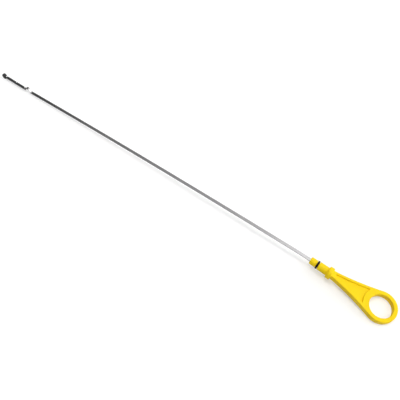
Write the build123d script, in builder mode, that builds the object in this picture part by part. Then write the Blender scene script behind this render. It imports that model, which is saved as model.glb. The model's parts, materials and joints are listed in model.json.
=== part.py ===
from build123d import *
from math import acos, atan, cos, degrees, radians, sin
import os

# Engine oil dipstick, lying on a level surface as it comes to rest.
# Lengths are in millimetres and angles in degrees.
# +X runs along the blade from the finger ring to the tip, +Z is up, and the surface is at Z = 0.
# Stations are distances along the handle's axis from the centre of the finger ring.

# Whole part
overall_length = 584.0
handle_pitch = 5.2  # rise of the handle's axis from the ring to the nose

# Finger ring and paddle
finger_hole_diameter = 25.0
ring_diameter = 34.0
grip_thickness = 7.0
grip_edge_radius = 1.0
finger_hole_edge_radius = 0.8
flare_angle = 71.0  # place on the ring where the sides of the paddle leave it
paddle_length = 56.7  # from the ring's centre to the back of the collar
neck_width = 7.2  # width of the paddle at the back of the collar

# Recessed web, the same on both faces of the paddle
rib_width = 2.75
ring_margin = 6.6  # from the finger hole to the web
neck_margin = 3.5  # from the collar to the web
web_recess = 1.8
web_draft = 10.0
web_corner_radius = 0.8
web_rim_radius = 0.3
web_floor_radius = 0.5

# Collar and plug
collar_diameter = 13.4
collar_thickness = 5.3
collar_rim_radius = 1.2
shank_diameter = 9.2
shank_length = 10.9
land_diameter = 8.8
land_width = 0.8
nose_diameter = 8.1
nose_length = 6.6
nose_end_radius = 1.0

# Seal
seal_cord_diameter = 2.2
seal_stand_out = 0.25  # how far the seal stands out of the shank
seal_squash = 0.12  # how far the seal is flattened on the floor of its groove
groove_side_clearance = 0.25

# Blade
strip_width = 3.5
strip_thickness = 1.0
strip_edge_radius = 0.2
tang_length = 24.0  # hidden in the plug
anchor_hole_diameter = 1.5
anchor_setback = 9.0  # from the tang's end to the anchor hole
moulding_gap = 0.02  # between the moulding and the tang, and under the seal
nose_straight = 2.0  # straight stretch of blade just outside the nose
set_bend_radius = 180.0  # bend that brings the blade level outside the nose

# Tip of the blade
hump_height = 4.6
hump_slope = 60.0  # steepness of the hump's flanks
hump_bend_radius = 1.5  # centre line of the hump's four bends
hump_crest = 2.2  # level top of the hump
gauging_length = 36.3
low_mark_setback = 16.5  # from the end of the gauging length to the low notch
mark_spacing = 16.4
notch_radius = 1.2
eye_radius = 3.0  # centre line of the rolled eye
jog_radius = 4.0  # centre line of the jog that sets the eye in line with the strip
eye_opening = 55.0  # arc of the eye left open above the jog

# Stations along the handle
collar_front = paddle_length + collar_thickness
groove_start = collar_front + shank_length
groove_width = seal_cord_diameter + 2 * groove_side_clearance
groove_end = groove_start + groove_width
land_end = groove_end + land_width
nose_end = land_end + nose_length
tang_end = nose_end - tang_length
anchor_station = tang_end + anchor_setback
blade_bend = nose_end + nose_straight

# Radii
hole_radius = finger_hole_diameter / 2
ring_radius = ring_diameter / 2
collar_radius = collar_diameter / 2
shank_radius = shank_diameter / 2
land_radius = land_diameter / 2
nose_radius = nose_diameter / 2
seal_centre_radius = shank_radius + seal_stand_out - seal_cord_diameter / 2
seal_seat_radius = seal_centre_radius - seal_cord_diameter / 2 + seal_squash
groove_floor_radius = seal_seat_radius - moulding_gap

# The ring rests on the rounded lower edge of its far end
pitch_cos = cos(radians(handle_pitch))
pitch_sin = sin(radians(handle_pitch))
edge_reach = ring_radius - grip_edge_radius
edge_height = grip_thickness / 2 - grip_edge_radius
ring_x = -overall_length / 2 + edge_reach * pitch_cos + edge_height * pitch_sin + grip_edge_radius
ring_z = edge_height * pitch_cos + edge_reach * pitch_sin + grip_edge_radius
ring_centre = Vector(ring_x, 0, ring_z)
handle_direction = Vector(pitch_cos, 0, pitch_sin)
handle_up = Vector(-pitch_sin, 0, pitch_cos)
handle_axis = Axis(ring_centre, handle_direction)

# Planes of the handle: flat in the grip, upright along its axis, and square across its axis
grip_plane = Plane(origin=ring_centre, x_dir=handle_direction, z_dir=handle_up)
turning_plane = Plane(origin=ring_centre, x_dir=handle_direction, z_dir=(0, -1, 0))
nose_plane = Plane(
    origin=ring_centre + handle_direction * nose_end,
    x_dir=(0, 1, 0),
    z_dir=handle_direction,
)

# The hump's flanks: a straight stretch between two bends
flank_slope = radians(hump_slope)
flank_straight = (hump_height - 2 * hump_bend_radius * (1 - cos(flank_slope))) / sin(flank_slope)
flank_run = 2 * hump_bend_radius * sin(flank_slope) + flank_straight * cos(flank_slope)

# Places along the blade, from its tip back to the bend outside the nose
jog_turn = acos(jog_radius / (jog_radius + eye_radius))
eye_x = overall_length / 2 - eye_radius - strip_thickness / 2
gauging_end_x = eye_x - (jog_radius + eye_radius) * sin(jog_turn)
gauging_start_x = gauging_end_x - gauging_length
hump_start_x = gauging_start_x - 2 * flank_run - hump_crest
gauging_z = eye_radius + strip_thickness / 2  # the eye rests on the surface
low_mark_x = gauging_end_x - low_mark_setback
high_mark_x = low_mark_x - mark_spacing

# The blade bows down from its bend to the foot of the hump, where the first bend brings it level
bend_start = ring_centre + handle_direction * blade_bend
bow_start_x = bend_start.X + set_bend_radius * pitch_sin
bow_start_z = bend_start.Z + set_bend_radius * (1 - pitch_cos)
bow_run = hump_start_x - bow_start_x
bow_drop = bow_start_z - gauging_z
bow_turn = 2 * atan(bow_drop / bow_run)
bow_radius = bow_run / sin(bow_turn) - hump_bend_radius

# Outline of the paddle, reaching into the ring and into the collar
flare_start = (ring_radius * cos(radians(flare_angle)), ring_radius * sin(radians(flare_angle)))
flare_tangent = (sin(radians(flare_angle)), -cos(radians(flare_angle)))
paddle_end = paddle_length + collar_thickness / 2
with BuildSketch(grip_plane) as paddle:
    with BuildLine():
        Line((0, 0), flare_start)
        TangentArc(flare_start, (paddle_end, neck_width / 2), tangent=flare_tangent)
        Line((paddle_end, neck_width / 2), (paddle_end, 0))
        mirror(about=Plane.XZ)
    make_face()

# Handle: one moulding with its ring, paddle, collar, plug and nose
with BuildPart() as handle:
    with BuildSketch(grip_plane):
        Circle(ring_radius)
        add(paddle.sketch_local)
    extrude(amount=grip_thickness / 2, both=True)
    grip_faces = handle.faces().filter_by(grip_plane)
    fillet(grip_faces.edges().filter_by(GeomType.CIRCLE), radius=grip_edge_radius)

    with BuildSketch(grip_plane):
        Circle(hole_radius)
    extrude(amount=grip_thickness / 2, both=True, mode=Mode.SUBTRACT)
    hole_edges = handle.edges().filter_by(GeomType.CIRCLE)
    fillet(hole_edges.filter_by(lambda edge: abs(edge.radius - hole_radius) < 1e-4),
           radius=finger_hole_edge_radius)

    for face_direction in (1, -1):
        face_plane = Plane(
            origin=ring_centre + handle_up * (face_direction * grip_thickness / 2),
            x_dir=handle_direction,
            z_dir=handle_up * face_direction,
        )
        with BuildSketch(face_plane) as web:
            add(paddle.sketch_local)
            offset(amount=-rib_width)
            Circle(hole_radius + ring_margin, mode=Mode.SUBTRACT)
            with Locations((paddle_length - neck_margin, 0)):
                Rectangle(paddle_length, grip_thickness, align=(Align.MIN, Align.CENTER), mode=Mode.SUBTRACT)
            fillet(web.vertices(), radius=web_corner_radius)
        extrude(amount=-web_recess, taper=web_draft, mode=Mode.SUBTRACT)
        levels = handle.faces().filter_by(face_plane).sort_by(Axis(ring_centre, face_plane.z_dir))
        fillet(levels[-1].inner_wires().sort_by(handle_axis)[-1].edges(), radius=web_rim_radius)
        levels = handle.faces().filter_by(face_plane).sort_by(Axis(ring_centre, face_plane.z_dir))
        fillet(levels[-2].edges(), radius=web_floor_radius)

    with BuildSketch(turning_plane) as plug_profile:
        with BuildLine():
            Polyline(
                (paddle_length, 0),
                (paddle_length, collar_radius),
                (collar_front, collar_radius),
                (collar_front, shank_radius),
                (groove_start, shank_radius),
                (groove_start, groove_floor_radius),
                (groove_end, groove_floor_radius),
                (groove_end, land_radius),
                (land_end, land_radius),
                (land_end, nose_radius),
                (nose_end, nose_radius),
                (nose_end, 0),
                close=True,
            )
        make_face()
        rim_corners = plug_profile.vertices().group_by(Axis.Y)[-1]
        fillet(rim_corners, radius=collar_rim_radius)
        nose_corner = plug_profile.vertices().group_by(Axis.X)[-1].sort_by(Axis.Y)[-1]
        fillet(nose_corner, radius=nose_end_radius)
    revolve(axis=handle_axis)

    with BuildSketch(nose_plane):
        RectangleRounded(
            strip_width + 2 * moulding_gap,
            strip_thickness + 2 * moulding_gap,
            strip_edge_radius + moulding_gap,
        )
    extrude(amount=-(tang_length + moulding_gap), mode=Mode.SUBTRACT)
    with BuildSketch(grip_plane):
        with Locations((anchor_station, 0)):
            Circle(anchor_hole_diameter / 2 - moulding_gap)
    extrude(amount=strip_thickness, both=True)

# Seal: a ring of round cord, flattened where it sits on the floor of its groove
with BuildPart() as o_ring:
    with BuildSketch(turning_plane):
        with Locations((groove_start + groove_width / 2, seal_centre_radius)):
            Circle(seal_cord_diameter / 2)
        with Locations((groove_start + groove_width / 2, seal_seat_radius)):
            Rectangle(
                seal_cord_diameter,
                seal_cord_diameter,
                align=(Align.CENTER, Align.MAX),
                mode=Mode.SUBTRACT,
            )
    revolve(axis=handle_axis)

# Blade: one strip bent flatwise, with a hump above the gauging length and a rolled eye at the tip
with BuildPart() as blade:
    with BuildLine(Plane.XZ) as blade_run:
        tang = Line(ring_centre + handle_direction * tang_end, bend_start)
        set_bend = JernArc(tang @ 1, tang % 1, set_bend_radius, -handle_pitch)
        bow = JernArc(set_bend @ 1, set_bend % 1, bow_radius, -degrees(bow_turn))
        near_foot = JernArc(bow @ 1, bow % 1, hump_bend_radius, degrees(bow_turn) + hump_slope)
        rise = Line(near_foot @ 1, (near_foot @ 1) + (near_foot % 1) * flank_straight)
        near_brow = JernArc(rise @ 1, rise % 1, hump_bend_radius, -hump_slope)
        crest = Line(near_brow @ 1, (near_brow @ 1) + (near_brow % 1) * hump_crest)
        far_brow = JernArc(crest @ 1, crest % 1, hump_bend_radius, -hump_slope)
        fall = Line(far_brow @ 1, (far_brow @ 1) + (far_brow % 1) * flank_straight)
        far_foot = JernArc(fall @ 1, fall % 1, hump_bend_radius, hump_slope)
        gauge = Line(far_foot @ 1, (far_foot @ 1) + (far_foot % 1) * gauging_length)
        jog = JernArc(gauge @ 1, gauge % 1, jog_radius, -degrees(jog_turn))
        JernArc(jog @ 1, jog % 1, eye_radius, 360 - eye_opening)
    tang_plane = Plane(origin=tang @ 0, x_dir=(0, 1, 0), z_dir=handle_direction)
    with BuildSketch(tang_plane):
        RectangleRounded(strip_width, strip_thickness, strip_edge_radius)
    sweep(path=blade_run.line)

    with BuildSketch(Plane.XY.offset(gauging_z)):
        with Locations((low_mark_x, -strip_width / 2), (high_mark_x, -strip_width / 2)):
            Circle(notch_radius)
    extrude(amount=strip_thickness, both=True, mode=Mode.SUBTRACT)
    with BuildSketch(grip_plane):
        with Locations((anchor_station, 0)):
            Circle(anchor_hole_diameter / 2)
    extrude(amount=strip_thickness, both=True, mode=Mode.SUBTRACT)

os.makedirs("parts", exist_ok=True)
handle.part.label = "handle"
export_step(handle.part, "parts/handle.step")
o_ring.part.label = "o_ring"
export_step(o_ring.part, "parts/o_ring.step")
blade.part.label = "blade"
export_step(blade.part, "parts/blade.step")
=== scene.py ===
import json
from math import cos, radians, sin

import bpy
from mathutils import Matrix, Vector

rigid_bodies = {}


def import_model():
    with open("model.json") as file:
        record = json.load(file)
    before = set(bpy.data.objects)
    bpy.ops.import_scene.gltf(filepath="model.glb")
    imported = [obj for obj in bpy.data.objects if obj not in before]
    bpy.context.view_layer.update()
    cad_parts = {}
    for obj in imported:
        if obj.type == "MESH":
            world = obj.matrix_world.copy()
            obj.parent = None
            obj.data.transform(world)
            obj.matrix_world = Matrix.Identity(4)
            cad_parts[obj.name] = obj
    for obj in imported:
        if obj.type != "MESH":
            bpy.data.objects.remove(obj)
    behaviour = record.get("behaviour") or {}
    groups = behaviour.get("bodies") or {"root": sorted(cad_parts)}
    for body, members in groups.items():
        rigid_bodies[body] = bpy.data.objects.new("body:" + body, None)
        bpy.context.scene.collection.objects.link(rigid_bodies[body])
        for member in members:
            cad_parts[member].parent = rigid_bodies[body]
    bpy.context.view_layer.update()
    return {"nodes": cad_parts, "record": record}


# Looks of the engine oil dipstick: finishes of its moulded handle, rubber seal and steel blade,
# the pale table that it lies on, the studio light overhead and the camera. Metres throughout.

for leftover in list(bpy.data.objects):
    bpy.data.objects.remove(leftover)
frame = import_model()
MM = 0.001

# Camera, seen from the surface point that it looks at
VIEW_AZIMUTH = 216.69
VIEW_ELEVATION = 56.42
VIEW_DISTANCE = 594.75 * MM
VIEW_TARGET = Vector((-48.59 * MM, 1.98 * MM, 0.0))
LENS_MM = 45.94
SENSOR_MM = 36.0

# Studio surroundings: brightness by how far a direction points along +X, pale beside the handle
# and dark beyond the tip
SURROUNDINGS = (
    (-1.0, 1.2),
    (0.1, 1.2),
    (0.25, 0.55),
    (0.62, 0.2),
    (0.67, 0.08),
    (1.0, 0.08),
)

# The side that the camera is on is darker near the table
NEAR_SIDE_LOW = 0.15
NEAR_SIDE_FROM = 0.1
NEAR_SIDE_TO = 0.4
LOW_HEIGHT = 0.55
HIGH_HEIGHT = 0.82

# Soft lamps: direction, radius in degrees, brightness, and the share of it that shows in mirrors
LAMPS = (
    ((0.208, 0.026, 0.978), 10.0, 11.5, 0.05),
    ((-0.89, -0.34, 0.30), 16.0, 1.6, 1.0),
)
LAMP_EDGE = 2.0

# Table top and the low backdrop round it: size, own colour, and white that is added where they are seen
TABLE_RADIUS = 6.0
TABLE_COLOUR = 0.70
TABLE_LIFT = 0.36
BACKDROP_HEIGHT = 1.2
BACKDROP_STEP = 6
BACKDROP_COLOUR = 0.05
BACKDROP_LIFT = 1.0
STAGE_ROUGHNESS = 0.9

# Grain and handling marks: noise detail, and the noise levels between which a mask goes from 0 to 1
GRAIN_DETAIL = 4.0
GRAIN_PATCHES = (0.35, 0.65)
SMEAR_DETAIL = 2.0
SMEAR_LEVELS = (0.45, 0.75)
SCRATCH_DETAIL = 1.0
SCRATCH_LEVELS = (0.66, 0.74)

# Yellow moulding
YELLOW_DEEP = (0.960, 0.672, 0.007)
YELLOW_PALE = (0.985, 0.712, 0.010)
YELLOW_FLOW_SIZE = 14.0 * MM
YELLOW_FLOW_ROUGHNESS = 0.4
YELLOW_GRAIN_SIZE = 0.35 * MM
YELLOW_GRAIN_DEPTH = 0.02 * MM
YELLOW_GRAIN_STRENGTH = 0.5
YELLOW_ROUGHNESS = 0.46
YELLOW_SMEARED = -0.08
YELLOW_SCRATCHED = 0.12
YELLOW_SPECULAR = 0.13
PARTING_LINE_HALF = 0.05 * MM
PARTING_LINE_EDGE = 0.12 * MM
PARTING_LINE_DEPTH = 0.04 * MM
PARTING_LINE_STRENGTH = 0.6

# Black rubber
RUBBER_DARK = (0.006, 0.005, 0.004)
RUBBER_DUSTY = (0.014, 0.012, 0.009)
RUBBER_GRAIN_SIZE = 0.25 * MM
RUBBER_GRAIN_DEPTH = 0.02 * MM
RUBBER_GRAIN_STRENGTH = 0.5
RUBBER_SMEAR_SIZE = 2.0 * MM
RUBBER_ROUGHNESS = 0.48
RUBBER_GRAINED = 0.15
RUBBER_SPECULAR = 0.14

# Strip steel: rolled faces, shear-cut edges that are duller and painted darker with painted shade, and the
# blackened length
STEEL_DULL = (0.56, 0.56, 0.56)
STEEL_BRIGHT = (0.64, 0.64, 0.63)
# Edge colours: painted shade over a duller cut finish, paler towards the handle and deep at the tip
EDGE_DULL_AND_SHADED = (0.30, 0.30, 0.30)
EDGE_PAINTED_SHADE_DEEP = (0.05, 0.05, 0.05)
BLACKENED_DARK = (0.012, 0.012, 0.013)
BLACKENED_WORN = (0.022, 0.022, 0.023)
EDGE_FACING = (0.45, 0.75)
ROLLED_GRAIN_SIZE = 0.3 * MM
ROLLED_DRAW_OUT = (60.0, 1.0, 1.0)
ROLLED_DEPTH = 0.01 * MM
ROLLED_STRENGTH = 0.25
CLOUD_SIZE = 6.0 * MM
CLOUD_DRAW_OUT = (5.0, 1.0, 1.0)
STEEL_SMEAR_SIZE = 14.0 * MM
STEEL_SCRATCH_LENGTH = 30.0 * MM
STEEL_SCRATCH_DEPTH = 0.005 * MM
STEEL_SCRATCH_STRENGTH = 0.2
STEEL_ROUGHNESS = 0.13
STEEL_ROLLED = 0.06
STEEL_SMEARED = 0.06
EDGE_DULLED = 0.35
BLACKENED_DULLED = 0.25

# The blade is blackened from the foot of its hump to its tip
BLACKENED_FROM = 248.3 * MM
BLACKENED_FADE = 0.6 * MM

# Painted shade darkens the blade's edges more and more along this stretch, towards the tip, where the blade
# lies low over its shadow
EDGE_SHADE_FROM = -150.0 * MM
EDGE_SHADE_TO = 200.0 * MM

# Middle and axis of the finger ring, from the record
FINGER_RING = next(mount for mount in frame["record"]["mounts"] if mount["name"] == "finger_ring")
RING_CENTRE = Vector(FINGER_RING["pos_m"])
RING_AXIS = Vector(FINGER_RING["axis"])


def new_material(name):
    """A material with a Principled shader, and its nodes, links and shader."""
    material = bpy.data.materials.new(name)
    material.use_nodes = True
    nodes = material.node_tree.nodes
    shader = next(node for node in nodes if node.type == "BSDF_PRINCIPLED")
    return material, nodes, material.node_tree.links, shader


def new_group(name, inputs, outputs):
    """A shader node group with float or vector inputs and float outputs."""
    group = bpy.data.node_groups.new(name, "ShaderNodeTree")
    for label, kind, default in inputs:
        socket = group.interface.new_socket(label, in_out="INPUT", socket_type=kind)
        if default is not None:
            socket.default_value = default
    for label in outputs:
        group.interface.new_socket(label, in_out="OUTPUT", socket_type="NodeSocketFloat")
    entry = group.nodes.new("NodeGroupInput")
    leave = group.nodes.new("NodeGroupOutput")
    return group, group.nodes, group.links, entry, leave


def math_node(nodes, operation, clamp=False, **values):
    """A math node with its unlinked inputs set by position, as in a=0.5, b=2.0."""
    node = nodes.new("ShaderNodeMath")
    node.operation = operation
    node.use_clamp = clamp
    for index, key in enumerate("abc"):
        if key in values:
            node.inputs[index].default_value = values[key]
    return node


def vector_node(nodes, operation, **values):
    """A vector math node with its unlinked inputs set by position."""
    node = nodes.new("ShaderNodeVectorMath")
    node.operation = operation
    for index, key in enumerate("abc"):
        if key in values:
            node.inputs[index].default_value = values[key]
    return node


def range_node(nodes, low, high, to_low=0.0, to_high=1.0):
    """A map range node that clamps."""
    node = nodes.new("ShaderNodeMapRange")
    node.inputs["From Min"].default_value = low
    node.inputs["From Max"].default_value = high
    node.inputs["To Min"].default_value = to_low
    node.inputs["To Max"].default_value = to_high
    return node


def make_surface_grain():
    """Fine grain of a surface: noise of a given size, drawn out along any direction."""
    group, nodes, links, entry, leave = new_group(
        "surface_grain",
        (
            ("Place", "NodeSocketVector", None),
            ("Grain Size", "NodeSocketFloat", 0.4 * MM),
            ("Draw Out", "NodeSocketVector", (1.0, 1.0, 1.0)),
            ("Roughness", "NodeSocketFloat", 0.55),
        ),
        ("Height", "Patches"),
    )
    drawn = vector_node(nodes, "DIVIDE")
    links.new(entry.outputs["Place"], drawn.inputs[0])
    links.new(entry.outputs["Draw Out"], drawn.inputs[1])
    per_grain = math_node(nodes, "DIVIDE", a=1.0)
    links.new(entry.outputs["Grain Size"], per_grain.inputs[1])
    scaled = vector_node(nodes, "SCALE")
    links.new(drawn.outputs["Vector"], scaled.inputs[0])
    links.new(per_grain.outputs["Value"], scaled.inputs["Scale"])
    noise = nodes.new("ShaderNodeTexNoise")
    noise.inputs["Scale"].default_value = 1.0
    noise.inputs["Detail"].default_value = GRAIN_DETAIL
    links.new(entry.outputs["Roughness"], noise.inputs["Roughness"])
    links.new(scaled.outputs["Vector"], noise.inputs["Vector"])
    patches = range_node(nodes, *GRAIN_PATCHES)
    links.new(noise.outputs["Fac"], patches.inputs["Value"])
    links.new(noise.outputs["Fac"], leave.inputs["Height"])
    links.new(patches.outputs["Result"], leave.inputs["Patches"])
    return group


def make_handling_marks():
    """Faint smears and fine scratches that handling leaves, as a mask."""
    group, nodes, links, entry, leave = new_group(
        "handling_marks",
        (
            ("Place", "NodeSocketVector", None),
            ("Smear Size", "NodeSocketFloat", 9.0 * MM),
            ("Scratch Length", "NodeSocketFloat", 12.0 * MM),
            ("Scratch Width", "NodeSocketFloat", 0.25 * MM),
        ),
        ("Smears", "Scratches"),
    )
    per_smear = math_node(nodes, "DIVIDE", a=1.0)
    links.new(entry.outputs["Smear Size"], per_smear.inputs[1])
    smear = nodes.new("ShaderNodeTexNoise")
    smear.inputs["Detail"].default_value = SMEAR_DETAIL
    links.new(entry.outputs["Place"], smear.inputs["Vector"])
    links.new(per_smear.outputs["Value"], smear.inputs["Scale"])
    smear_mask = range_node(nodes, *SMEAR_LEVELS)
    links.new(smear.outputs["Fac"], smear_mask.inputs["Value"])
    links.new(smear_mask.outputs["Result"], leave.inputs["Smears"])

    stretch = nodes.new("ShaderNodeCombineXYZ")
    links.new(entry.outputs["Scratch Length"], stretch.inputs["X"])
    links.new(entry.outputs["Scratch Width"], stretch.inputs["Y"])
    links.new(entry.outputs["Scratch Width"], stretch.inputs["Z"])
    drawn = vector_node(nodes, "DIVIDE")
    links.new(entry.outputs["Place"], drawn.inputs[0])
    links.new(stretch.outputs["Vector"], drawn.inputs[1])
    lines = nodes.new("ShaderNodeTexNoise")
    lines.inputs["Scale"].default_value = 1.0
    lines.inputs["Detail"].default_value = SCRATCH_DETAIL
    links.new(drawn.outputs["Vector"], lines.inputs["Vector"])
    line_mask = range_node(nodes, *SCRATCH_LEVELS)
    links.new(lines.outputs["Fac"], line_mask.inputs["Value"])
    links.new(line_mask.outputs["Result"], leave.inputs["Scratches"])
    return group


def place_group(nodes, links, group, place, **values):
    """A group node fed with a place on the surface, its other inputs set by label."""
    node = nodes.new("ShaderNodeGroup")
    node.node_tree = group
    links.new(place, node.inputs["Place"])
    for label, value in values.items():
        node.inputs[label.replace("_", " ")].default_value = value
    return node


def mix_colours(nodes, links, mask, first, second):
    """A colour that goes from first to second, each fixed or a socket, as the mask goes from 0 to 1."""
    mix = nodes.new("ShaderNodeMix")
    mix.data_type = "RGBA"
    links.new(mask, mix.inputs["Factor"])
    for label, colour in (("A", first), ("B", second)):
        if isinstance(colour, tuple):
            mix.inputs[label].default_value = (*colour, 1.0)
        else:
            links.new(colour, mix.inputs[label])
    return mix.outputs["Result"]


def add_share(nodes, links, value, mask, share):
    """A value, fixed or a socket, with a share of a mask added to it."""
    node = math_node(nodes, "MULTIPLY_ADD", b=share)
    links.new(mask, node.inputs[0])
    if isinstance(value, float):
        node.inputs[2].default_value = value
    else:
        links.new(value, node.inputs[2])
    return node.outputs["Value"]


def add_bump(nodes, links, height, normal, distance, strength):
    """A bump of real depth on top of another normal, if there is one."""
    bump = nodes.new("ShaderNodeBump")
    bump.inputs["Distance"].default_value = distance
    bump.inputs["Strength"].default_value = strength
    links.new(height, bump.inputs["Height"])
    if normal is not None:
        links.new(normal, bump.inputs["Normal"])
    return bump.outputs["Normal"]


def yellow_moulding(grain, marks):
    """Satin injection-moulded plastic with a fine mould grain and a parting line round its middle."""
    material, nodes, links, shader = new_material("yellow_moulding_satin")
    place = nodes.new("ShaderNodeTexCoord").outputs["Object"]
    flow = place_group(
        nodes, links, grain, place, Grain_Size=YELLOW_FLOW_SIZE, Roughness=YELLOW_FLOW_ROUGHNESS)
    fine = place_group(nodes, links, grain, place, Grain_Size=YELLOW_GRAIN_SIZE)
    worn = place_group(nodes, links, marks, place)

    colour = mix_colours(nodes, links, flow.outputs["Patches"], YELLOW_DEEP, YELLOW_PALE)
    links.new(colour, shader.inputs["Base Color"])
    rough = add_share(nodes, links, YELLOW_ROUGHNESS, worn.outputs["Smears"], YELLOW_SMEARED)
    rough = add_share(nodes, links, rough, worn.outputs["Scratches"], YELLOW_SCRATCHED)
    links.new(rough, shader.inputs["Roughness"])
    shader.inputs["Specular IOR Level"].default_value = YELLOW_SPECULAR

    from_ring = vector_node(nodes, "SUBTRACT", b=RING_CENTRE)
    links.new(place, from_ring.inputs[0])
    level = vector_node(nodes, "DOT_PRODUCT", b=RING_AXIS)
    links.new(from_ring.outputs["Vector"], level.inputs[0])
    off_middle = math_node(nodes, "ABSOLUTE")
    links.new(level.outputs["Value"], off_middle.inputs[0])
    parting_line = range_node(nodes, PARTING_LINE_HALF, PARTING_LINE_EDGE, 1.0, 0.0)
    links.new(off_middle.outputs["Value"], parting_line.inputs["Value"])

    normal = add_bump(
        nodes, links, fine.outputs["Height"], None, YELLOW_GRAIN_DEPTH, YELLOW_GRAIN_STRENGTH)
    normal = add_bump(
        nodes, links, parting_line.outputs["Result"], normal, PARTING_LINE_DEPTH, PARTING_LINE_STRENGTH)
    links.new(normal, shader.inputs["Normal"])
    return material


def black_rubber(grain, marks):
    """Dark seal rubber, matt with a faint sheen of dust."""
    material, nodes, links, shader = new_material("black_rubber_seal")
    place = nodes.new("ShaderNodeTexCoord").outputs["Object"]
    fine = place_group(nodes, links, grain, place, Grain_Size=RUBBER_GRAIN_SIZE)
    worn = place_group(nodes, links, marks, place, Smear_Size=RUBBER_SMEAR_SIZE)

    colour = mix_colours(nodes, links, worn.outputs["Smears"], RUBBER_DARK, RUBBER_DUSTY)
    links.new(colour, shader.inputs["Base Color"])
    rough = add_share(nodes, links, RUBBER_ROUGHNESS, fine.outputs["Patches"], RUBBER_GRAINED)
    links.new(rough, shader.inputs["Roughness"])
    shader.inputs["Specular IOR Level"].default_value = RUBBER_SPECULAR
    normal = add_bump(
        nodes, links, fine.outputs["Height"], None, RUBBER_GRAIN_DEPTH, RUBBER_GRAIN_STRENGTH)
    links.new(normal, shader.inputs["Normal"])
    return material


def strip_steel(grain, marks):
    """Rolled spring steel with lengthwise grain, dull shear-cut edges painted darker with painted shade,
    scratches, smears and a blackened end.
    """
    material, nodes, links, shader = new_material("strip_steel_rolled")
    coordinates = nodes.new("ShaderNodeTexCoord")
    place = coordinates.outputs["Object"]
    rolled = place_group(
        nodes, links, grain, place, Grain_Size=ROLLED_GRAIN_SIZE, Draw_Out=ROLLED_DRAW_OUT)
    cloudy = place_group(nodes, links, grain, place, Grain_Size=CLOUD_SIZE, Draw_Out=CLOUD_DRAW_OUT)
    worn = place_group(
        nodes, links, marks, place, Smear_Size=STEEL_SMEAR_SIZE, Scratch_Length=STEEL_SCRATCH_LENGTH)

    # Mask of the sideways faces: a duller cut finish, and painted shade in their colour
    facing = nodes.new("ShaderNodeSeparateXYZ")
    links.new(coordinates.outputs["Normal"], facing.inputs["Vector"])
    sideways = math_node(nodes, "ABSOLUTE")
    links.new(facing.outputs["Y"], sideways.inputs[0])
    edge_dull_and_shaded = range_node(nodes, *EDGE_FACING)
    links.new(sideways.outputs["Value"], edge_dull_and_shaded.inputs["Value"])

    along = nodes.new("ShaderNodeSeparateXYZ")
    links.new(place, along.inputs["Vector"])
    fade_from = BLACKENED_FROM - BLACKENED_FADE
    fade_to = BLACKENED_FROM + BLACKENED_FADE
    blackened = range_node(nodes, fade_from, fade_to)
    bare = range_node(nodes, fade_from, fade_to, 1.0, 0.0)
    edge_shade_deepening = range_node(nodes, EDGE_SHADE_FROM, EDGE_SHADE_TO)
    for mask in (blackened, bare, edge_shade_deepening):
        links.new(along.outputs["X"], mask.inputs["Value"])

    faces = mix_colours(nodes, links, cloudy.outputs["Patches"], STEEL_DULL, STEEL_BRIGHT)
    # The edges' colour is painted shade, deepening towards the tip
    edges = mix_colours(nodes, links, edge_shade_deepening.outputs["Result"], EDGE_DULL_AND_SHADED, EDGE_PAINTED_SHADE_DEEP)
    steel = mix_colours(nodes, links, edge_dull_and_shaded.outputs["Result"], faces, edges)
    dark = mix_colours(nodes, links, cloudy.outputs["Patches"], BLACKENED_DARK, BLACKENED_WORN)
    colour = mix_colours(nodes, links, blackened.outputs["Result"], steel, dark)
    links.new(colour, shader.inputs["Base Color"])
    links.new(bare.outputs["Result"], shader.inputs["Metallic"])

    rough = add_share(nodes, links, STEEL_ROUGHNESS, rolled.outputs["Patches"], STEEL_ROLLED)
    rough = add_share(nodes, links, rough, worn.outputs["Smears"], STEEL_SMEARED)
    rough = add_share(nodes, links, rough, edge_dull_and_shaded.outputs["Result"], EDGE_DULLED)
    rough = add_share(nodes, links, rough, blackened.outputs["Result"], BLACKENED_DULLED)
    links.new(rough, shader.inputs["Roughness"])
    normal = add_bump(nodes, links, rolled.outputs["Height"], None, ROLLED_DEPTH, ROLLED_STRENGTH)
    normal = add_bump(
        nodes, links, worn.outputs["Scratches"], normal, STEEL_SCRATCH_DEPTH, STEEL_SCRATCH_STRENGTH)
    links.new(normal, shader.inputs["Normal"])
    return material


def white_to_the_eye(name, base, strength):
    """A matt white finish that adds its own white only where it is seen, directly or mirrored."""
    material, nodes, links, shader = new_material(name)
    shader.inputs["Base Color"].default_value = (base, base, base, 1.0)
    shader.inputs["Roughness"].default_value = STAGE_ROUGHNESS
    shader.inputs["Specular IOR Level"].default_value = 0.0
    shader.inputs["Emission Color"].default_value = (1.0, 1.0, 1.0, 1.0)
    path = nodes.new("ShaderNodeLightPath")
    seen = math_node(nodes, "MAXIMUM")
    links.new(path.outputs["Is Camera Ray"], seen.inputs[0])
    links.new(path.outputs["Is Glossy Ray"], seen.inputs[1])
    also_through = math_node(nodes, "MAXIMUM")
    links.new(seen.outputs["Value"], also_through.inputs[0])
    links.new(path.outputs["Is Transmission Ray"], also_through.inputs[1])
    lift = math_node(nodes, "MULTIPLY", b=strength)
    links.new(also_through.outputs["Value"], lift.inputs[0])
    links.new(lift.outputs["Value"], shader.inputs["Emission Strength"])
    return material


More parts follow.
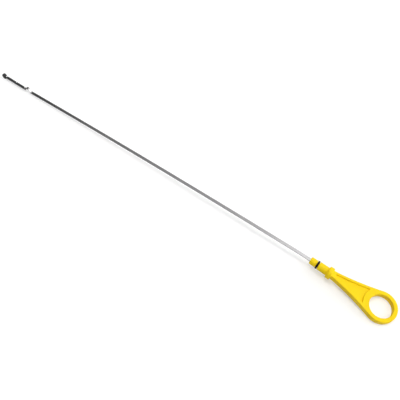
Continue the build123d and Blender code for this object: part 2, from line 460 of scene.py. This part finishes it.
def make_table():
    """A pale round table top that takes the shadows, and a low white backdrop round it."""
    round_points = [(cos(radians(turn)) * TABLE_RADIUS, sin(radians(turn)) * TABLE_RADIUS)
                    for turn in range(0, 360, BACKDROP_STEP)]
    low = [(x, y, 0.0) for x, y in round_points]
    high = [(x, y, BACKDROP_HEIGHT) for x, y in round_points]
    count = len(round_points)
    panels = []
    for place in range(count):
        after = (place + 1) % count
        panels.append((place, after, count + after, count + place))
    table_white = white_to_the_eye("table_top_white", TABLE_COLOUR, TABLE_LIFT)
    backdrop_white = white_to_the_eye("backdrop_white", BACKDROP_COLOUR, BACKDROP_LIFT)
    stages = (
        ("table_top", low, [tuple(range(count))], table_white, True),
        ("backdrop", low + high, panels, backdrop_white, False),
    )
    for name, points, faces, finish, stops_light in stages:
        mesh = bpy.data.meshes.new(name)
        mesh.from_pydata(points, [], faces)
        mesh.materials.append(finish)
        piece = bpy.data.objects.new(name, mesh)
        piece.visible_diffuse = stops_light
        piece.visible_shadow = stops_light
        bpy.context.scene.collection.objects.link(piece)


def make_studio_light():
    """Plain surroundings, pale to dark, and soft lamps overhead and behind the handle."""
    world = bpy.data.worlds.new("studio")
    bpy.context.scene.world = world
    world.use_nodes = True
    nodes, links = world.node_tree.nodes, world.node_tree.links
    around = next(node for node in nodes if node.type == "BACKGROUND")
    direction = nodes.new("ShaderNodeTexCoord").outputs["Generated"]
    along = nodes.new("ShaderNodeSeparateXYZ")
    links.new(direction, along.inputs["Vector"])
    share = range_node(nodes, -1.0, 1.0)
    links.new(along.outputs["X"], share.inputs["Value"])
    ramp = nodes.new("ShaderNodeValToRGB")
    links.new(share.outputs["Result"], ramp.inputs["Fac"])
    brightest = max(brightness for _, brightness in SURROUNDINGS)
    stops = ramp.color_ramp.elements
    while len(stops) > 1:
        stops.remove(stops[-1])
    for index, (along_x, brightness) in enumerate(SURROUNDINGS):
        position = (along_x + 1.0) / 2.0
        stop = stops[0] if index == 0 else stops.new(position)
        stop.position = position
        stop.color = (*[brightness / brightest] * 3, 1.0)
    links.new(ramp.outputs["Color"], around.inputs["Color"])
    near = range_node(nodes, NEAR_SIDE_FROM, NEAR_SIDE_TO)
    links.new(along.outputs["Y"], near.inputs["Value"])
    low = range_node(nodes, LOW_HEIGHT, HIGH_HEIGHT, (NEAR_SIDE_LOW - 1.0) * brightest, 0.0)
    links.new(along.outputs["Z"], low.inputs["Value"])
    strength = math_node(nodes, "MULTIPLY_ADD", c=brightest)
    links.new(near.outputs["Result"], strength.inputs[0])
    links.new(low.outputs["Result"], strength.inputs[1])
    links.new(strength.outputs["Value"], around.inputs["Strength"])

    light = around.outputs["Background"]
    mirrored = nodes.new("ShaderNodeLightPath").outputs["Is Glossy Ray"]
    for towards, radius, brightness, share_in_mirrors in LAMPS:
        facing = vector_node(nodes, "DOT_PRODUCT", b=Vector(towards).normalized())
        links.new(direction, facing.inputs[0])
        rim = cos(radians(radius + LAMP_EDGE))
        middle = cos(radians(radius - LAMP_EDGE))
        glow = range_node(nodes, rim, middle, 0.0, brightness)
        links.new(facing.outputs["Value"], glow.inputs["Value"])
        showing = range_node(nodes, 0.0, 1.0, 1.0, share_in_mirrors)
        links.new(mirrored, showing.inputs["Value"])
        shown = math_node(nodes, "MULTIPLY")
        links.new(glow.outputs["Result"], shown.inputs[0])
        links.new(showing.outputs["Result"], shown.inputs[1])
        lamp = nodes.new("ShaderNodeBackground")
        links.new(shown.outputs["Value"], lamp.inputs["Strength"])
        both = nodes.new("ShaderNodeAddShader")
        links.new(light, both.inputs[0])
        links.new(lamp.outputs["Background"], both.inputs[1])
        light = both.outputs["Shader"]
    leave = next(node for node in nodes if node.type == "OUTPUT_WORLD")
    links.new(light, leave.inputs["Surface"])


def make_camera():
    """The camera, looking down on the dipstick from beside its handle."""
    azimuth, elevation = radians(VIEW_AZIMUTH), radians(VIEW_ELEVATION)
    back = Vector((sin(azimuth) * cos(elevation), -cos(azimuth) * cos(elevation), sin(elevation)))
    lens = bpy.data.cameras.new("camera")
    lens.lens = LENS_MM
    lens.sensor_width = SENSOR_MM
    lens.clip_start = 0.01
    lens.clip_end = 50.0
    camera = bpy.data.objects.new("camera", lens)
    camera.location = VIEW_TARGET + back * VIEW_DISTANCE
    camera.rotation_mode = "QUATERNION"
    camera.rotation_quaternion = (-back).to_track_quat("-Z", "Y")
    bpy.context.scene.collection.objects.link(camera)
    bpy.context.scene.camera = camera


def dress_nodes():
    """Each CAD piece gets its finish."""
    grain = make_surface_grain()
    marks = make_handling_marks()
    finishes = {
        "handle": yellow_moulding(grain, marks),
        "o_ring": black_rubber(grain, marks),
        "blade": strip_steel(grain, marks),
    }
    for name, finish in finishes.items():
        mesh = frame["nodes"][name].data
        mesh.materials.clear()
        mesh.materials.append(finish)


dress_nodes()
make_table()
make_studio_light()
make_camera()
bpy.context.scene.view_settings.view_transform = "Standard"
